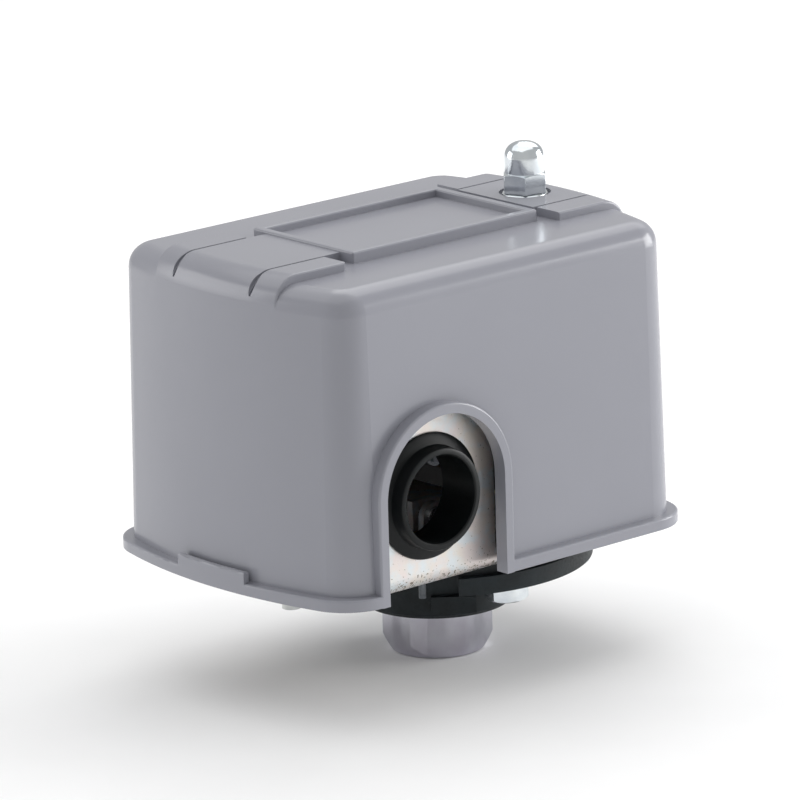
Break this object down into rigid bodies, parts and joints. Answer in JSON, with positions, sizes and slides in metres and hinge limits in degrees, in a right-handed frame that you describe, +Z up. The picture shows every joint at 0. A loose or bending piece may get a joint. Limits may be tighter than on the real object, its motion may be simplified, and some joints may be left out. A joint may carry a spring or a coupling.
{
  "type": "pressure switch",
  "caption": "Pump pressure switch with a moulded cover, two conduit entries, a threaded pressure port, and a spring-balanced lever that opens snap contacts.",
  "frame": {"origin": "centre of the pressure port's mouth, on the bottom face of the hexagon", "axes": "+Z up the port's axis towards the cover, X along the cover's length with the cap nut on the +X side, -Y towards the front conduit entry"},
  "size_m": [0.1052, 0.077, 0.1039],
  "materials": {
    "cover_plastic": "semi-gloss injection-moulded grey plastic",
    "bright_zinc": "bright clear zinc plating",
    "zinc_sheet": "rolled steel sheet, bright zinc plated",
    "black_plastic": "satin black moulded plastic",
    "green_screw": "green dyed screw",
    "housing_black": "dark grey coated casting",
    "turned_zinc": "turned steel hexagon, zinc plated",
    "diaphragm_rubber": "fabric-backed rubber",
    "clamp_black": "black coated steel ring",
    "turned_brass": "turned brass",
    "ground_steel": "ground steel pin",
    "threaded_steel": "zinc plated rolled thread",
    "spring_steel": "coiled music wire",
    "phenolic": "moulded black phenolic",
    "terminal_brass": "stamped brass",
    "terminal_screw_steel": "zinc plated screw",
    "contact_silver": "silver contact button",
    "arm_plastic": "moulded ivory thermoset",
    "contact_copper": "stamped copper strip"
  },
  "bodies": {
    "frame": {"frame_bracket": "zinc_sheet", "frame_walls": "zinc_sheet", "pivot_ears": "zinc_sheet", "conduit_bushing_front": "black_plastic", "conduit_bushing_rear": "black_plastic", "bushing_retainer_front": "zinc_sheet", "bushing_retainer_rear": "zinc_sheet", "ground_screws": "green_screw", "pressure_housing": "housing_black", "port_fitting": "turned_zinc", "diaphragm": "diaphragm_rubber", "clamp_ring": "clamp_black", "flange_bolts": "bright_zinc", "housing_dowel": "bright_zinc", "lever_pivot_pin": "ground_steel", "arm_pivot_pin": "ground_steel", "range_stud": "threaded_steel", "differential_stud": "threaded_steel", "stud_foot_nuts": "bright_zinc", "range_spring": "spring_steel", "differential_spring": "spring_steel", "toggle_spring": "spring_steel", "terminal_block": "phenolic", "terminal_plates": "terminal_brass", "terminal_clamps": "terminal_brass", "terminal_screws": "terminal_screw_steel", "fixed_contacts": "contact_silver", "block_screws": "bright_zinc"},
    "cover": {"cover": "cover_plastic"},
    "cap_nut": {"cap_nut": "bright_zinc"},
    "piston": {"piston": "turned_brass"},
    "lever": {"pressure_lever": "zinc_sheet"},
    "contact_arm": {"contact_arm": "arm_plastic", "contact_bridges": "contact_copper", "contact_springs": "spring_steel"},
    "range_seat": {"range_spring_seat": "zinc_sheet"},
    "range_nut": {"range_nut": "bright_zinc"},
    "differential_seat": {"differential_spring_seat": "zinc_sheet"},
    "differential_nut": {"differential_nut": "bright_zinc"}
  },
  "joints": [
    {"name": "cover_lift", "type": "slide", "parent": "frame", "child": "cover", "axis": [0, 0, 1], "range_m": [0, 0.08]},
    {"name": "cap_nut_turn", "type": "hinge", "parent": "cover", "child": "cap_nut", "pos_m": [0.0276, 0, 0.0922], "axis": [0, 0, 1], "continuous": true},
    {"name": "lever_swing", "type": "hinge", "parent": "frame", "child": "lever", "pos_m": [-0.016, 0, 0.035], "axis": [0, -1, 0], "range_deg": [0, 3.6], "stiffness_Nm_per_rad": 2, "deforming": ["range_spring", "differential_spring"]},
    {"name": "piston_rise", "type": "slide", "parent": "frame", "child": "piston", "axis": [0, 0, 1], "range_m": [0, 0.0011]},
    {"name": "contact_arm_swing", "type": "hinge", "parent": "frame", "child": "contact_arm", "pos_m": [0.0005, 0, 0.04], "axis": [0, 1, 0], "range_deg": [0, 8.1], "deforming": ["toggle_spring"]},
    {"name": "range_seat_slide", "type": "slide", "parent": "frame", "child": "range_seat", "axis": [0, 0, 1], "range_m": [-0.004, 0.004], "deforming": ["range_spring"]},
    {"name": "range_nut_turn", "type": "hinge", "parent": "range_seat", "child": "range_nut", "pos_m": [0.0276, 0, 0.077], "axis": [0, 0, 1], "range_deg": [-1152, 1152]},
    {"name": "differential_seat_slide", "type": "slide", "parent": "frame", "child": "differential_seat", "axis": [0, 0, 1], "range_m": [-0.002, 0.002], "deforming": ["differential_spring"]},
    {"name": "differential_nut_turn", "type": "hinge", "parent": "differential_seat", "child": "differential_nut", "pos_m": [0.015, 0.008, 0.0615], "axis": [0, 0, 1], "range_deg": [-734, 734]}
  ],
  "couplings": [
    {"joint": "piston_rise", "follows": "lever_swing", "m_per_rad": 0.016},
    {"joint": "contact_arm_swing", "follows": "lever_swing", "ratio": 2.22},
    {"joint": "range_nut_turn", "follows": "range_seat_slide", "rad_per_m": -4947.3},
    {"joint": "differential_nut_turn", "follows": "differential_seat_slide", "rad_per_m": -6283.2}
  ]
}
